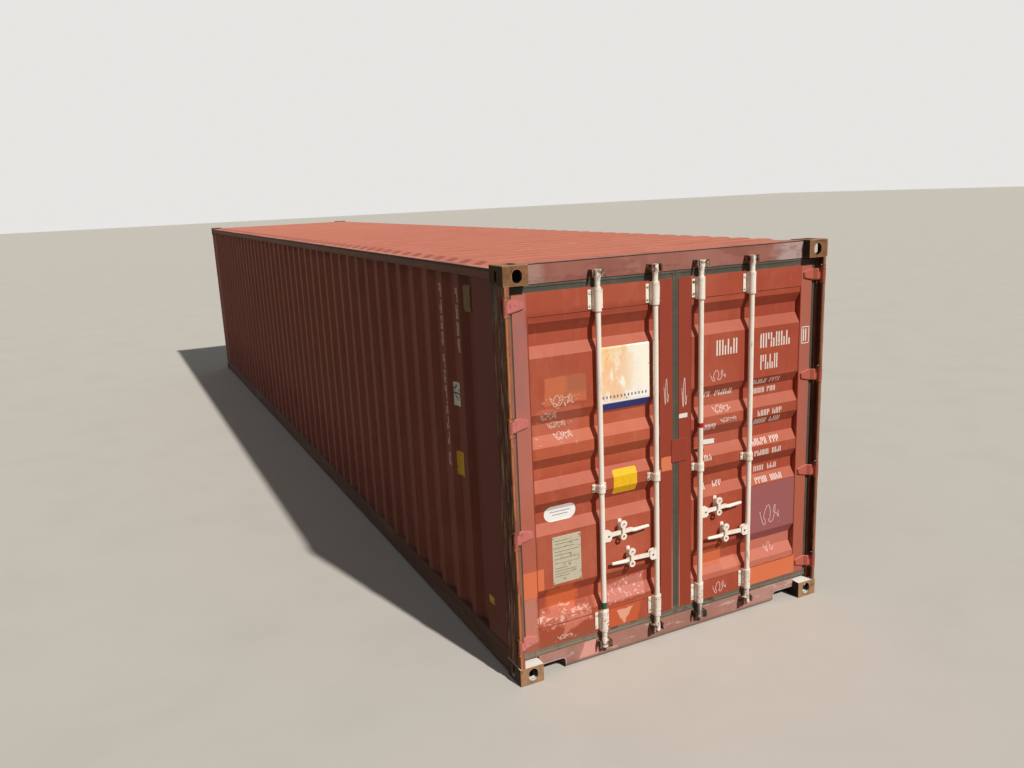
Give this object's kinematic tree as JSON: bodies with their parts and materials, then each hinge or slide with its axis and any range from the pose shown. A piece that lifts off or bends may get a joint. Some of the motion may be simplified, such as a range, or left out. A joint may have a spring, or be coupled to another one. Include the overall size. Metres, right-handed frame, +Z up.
{
  "type": "shipping container",
  "caption": "Forty-foot steel dry-freight container with corrugated walls and roof, corner castings and two doors with locking bars.",
  "frame": {"origin": "centre of the rectangle under the four bottom castings", "axes": "+Y along the container away from the doors, +X to the right when facing the doors, +Z up"},
  "size_m": [2.438, 12.192, 2.591],
  "materials": {
    "bare_casting": "worn, tan-brown rust",
    "rusty_post_paint": "worn paint with streaks of rust",
    "faded_paint": "faded, chalky salmon-red paint",
    "wall_paint": "matte red-oxide paint, worn",
    "door_paint": "terracotta red-oxide paint with touched-up patches",
    "gasket_rubber": "aged dark grey-green rubber",
    "cream_paint": "cream paint over galvanizing, chipped",
    "plywood": "worn plywood"
  },
  "bodies": {
    "frame": {"casting_rear_low_left": "bare_casting", "casting_rear_low_right": "bare_casting", "casting_rear_top_left": "bare_casting", "casting_rear_top_right": "bare_casting", "casting_front_low_left": "bare_casting", "casting_front_low_right": "bare_casting", "casting_front_top_left": "bare_casting", "casting_front_top_right": "bare_casting", "rear_post_left": "rusty_post_paint", "rear_post_right": "rusty_post_paint", "front_posts": "wall_paint", "door_header": "faded_paint", "door_sill": "faded_paint", "cam_keepers": "rusty_post_paint", "front_top_rail": "wall_paint", "front_bottom_rail": "wall_paint", "roof_end_plates": "faded_paint", "top_rail_left": "faded_paint", "top_rail_right": "faded_paint", "bottom_rail_left": "wall_paint", "bottom_rail_right": "wall_paint", "side_wall_left": "wall_paint", "side_wall_right": "wall_paint", "front_wall": "wall_paint", "roof": "faded_paint", "ventilators": "wall_paint", "crossmembers": "wall_paint", "outriggers_left": "wall_paint", "outriggers_right": "wall_paint", "gooseneck_tunnel": "wall_paint", "floor_boards": "plywood"},
    "door_left": {"door_frame_left": "door_paint", "door_panel_left": "door_paint", "door_gasket_left": "gasket_rubber", "door_hinges_left": "door_paint", "bar_brackets_left": "cream_paint", "handle_seats_left": "cream_paint"},
    "door_right": {"door_frame_right": "door_paint", "door_panel_right": "door_paint", "door_gasket_right": "gasket_rubber", "door_hinges_right": "door_paint", "bar_brackets_right": "cream_paint", "handle_seats_right": "cream_paint", "lap_plate": "door_paint"},
    "bar_1": {"locking_bar_1": "cream_paint"},
    "handle_1": {"handle_1": "cream_paint"},
    "catch_1": {"catch_1": "cream_paint"},
    "bar_2": {"locking_bar_2": "cream_paint"},
    "handle_2": {"handle_2": "cream_paint"},
    "catch_2": {"catch_2": "cream_paint"},
    "bar_3": {"locking_bar_3": "cream_paint"},
    "handle_3": {"handle_3": "cream_paint"},
    "catch_3": {"catch_3": "cream_paint"},
    "bar_4": {"locking_bar_4": "cream_paint"},
    "handle_4": {"handle_4": "cream_paint"},
    "catch_4": {"catch_4": "cream_paint"}
  },
  "joints": [
    {"name": "door_left_swing", "type": "hinge", "parent": "frame", "child": "door_left", "pos_m": [-1.204, -6.081, 1.3], "axis": [0, 0, -1], "range_deg": [0, 267]},
    {"name": "door_right_swing", "type": "hinge", "parent": "frame", "child": "door_right", "pos_m": [1.204, -6.081, 1.3], "axis": [0, 0, 1], "range_deg": [0, 267]},
    {"name": "bar_1_turn", "type": "hinge", "parent": "door_left", "child": "bar_1", "pos_m": [-0.59, -6.068, 1.3], "axis": [0, 0, 1], "range_deg": [-100, 0]},
    {"name": "bar_2_turn", "type": "hinge", "parent": "door_left", "child": "bar_2", "pos_m": [-0.176, -6.068, 1.3], "axis": [0, 0, -1], "range_deg": [-100, 0]},
    {"name": "bar_3_turn", "type": "hinge", "parent": "door_right", "child": "bar_3", "pos_m": [0.176, -6.068, 1.3], "axis": [0, 0, 1], "range_deg": [-100, 0]},
    {"name": "bar_4_turn", "type": "hinge", "parent": "door_right", "child": "bar_4", "pos_m": [0.59, -6.068, 1.3], "axis": [0, 0, -1], "range_deg": [-100, 0]},
    {"name": "handle_1_lift", "type": "hinge", "parent": "bar_1", "child": "handle_1", "pos_m": [-0.552, -6.069, 0.843], "axis": [0, 1, 0], "range_deg": [-12, 0]},
    {"name": "handle_2_lift", "type": "hinge", "parent": "bar_2", "child": "handle_2", "pos_m": [-0.214, -6.069, 0.641], "axis": [0, -1, 0], "range_deg": [-9, 0]},
    {"name": "handle_3_lift", "type": "hinge", "parent": "bar_3", "child": "handle_3", "pos_m": [0.214, -6.069, 0.843], "axis": [0, 1, 0], "range_deg": [-12, 0]},
    {"name": "handle_4_lift", "type": "hinge", "parent": "bar_4", "child": "handle_4", "pos_m": [0.552, -6.069, 0.641], "axis": [0, -1, 0], "range_deg": [-9, 0]},
    {"name": "catch_1_swing", "type": "hinge", "parent": "door_left", "child": "catch_1", "pos_m": [-0.443, -6.0865, 0.904], "axis": [0, 1, 0], "range_deg": [-60, 0]},
    {"name": "catch_2_swing", "type": "hinge", "parent": "door_left", "child": "catch_2", "pos_m": [-0.381, -6.0865, 0.702], "axis": [0, -1, 0], "range_deg": [-60, 0]},
    {"name": "catch_3_swing", "type": "hinge", "parent": "door_right", "child": "catch_3", "pos_m": [0.323, -6.0865, 0.904], "axis": [0, 1, 0], "range_deg": [-60, 0]},
    {"name": "catch_4_swing", "type": "hinge", "parent": "door_right", "child": "catch_4", "pos_m": [0.385, -6.0865, 0.702], "axis": [0, -1, 0], "range_deg": [-60, 0]}
  ]
}
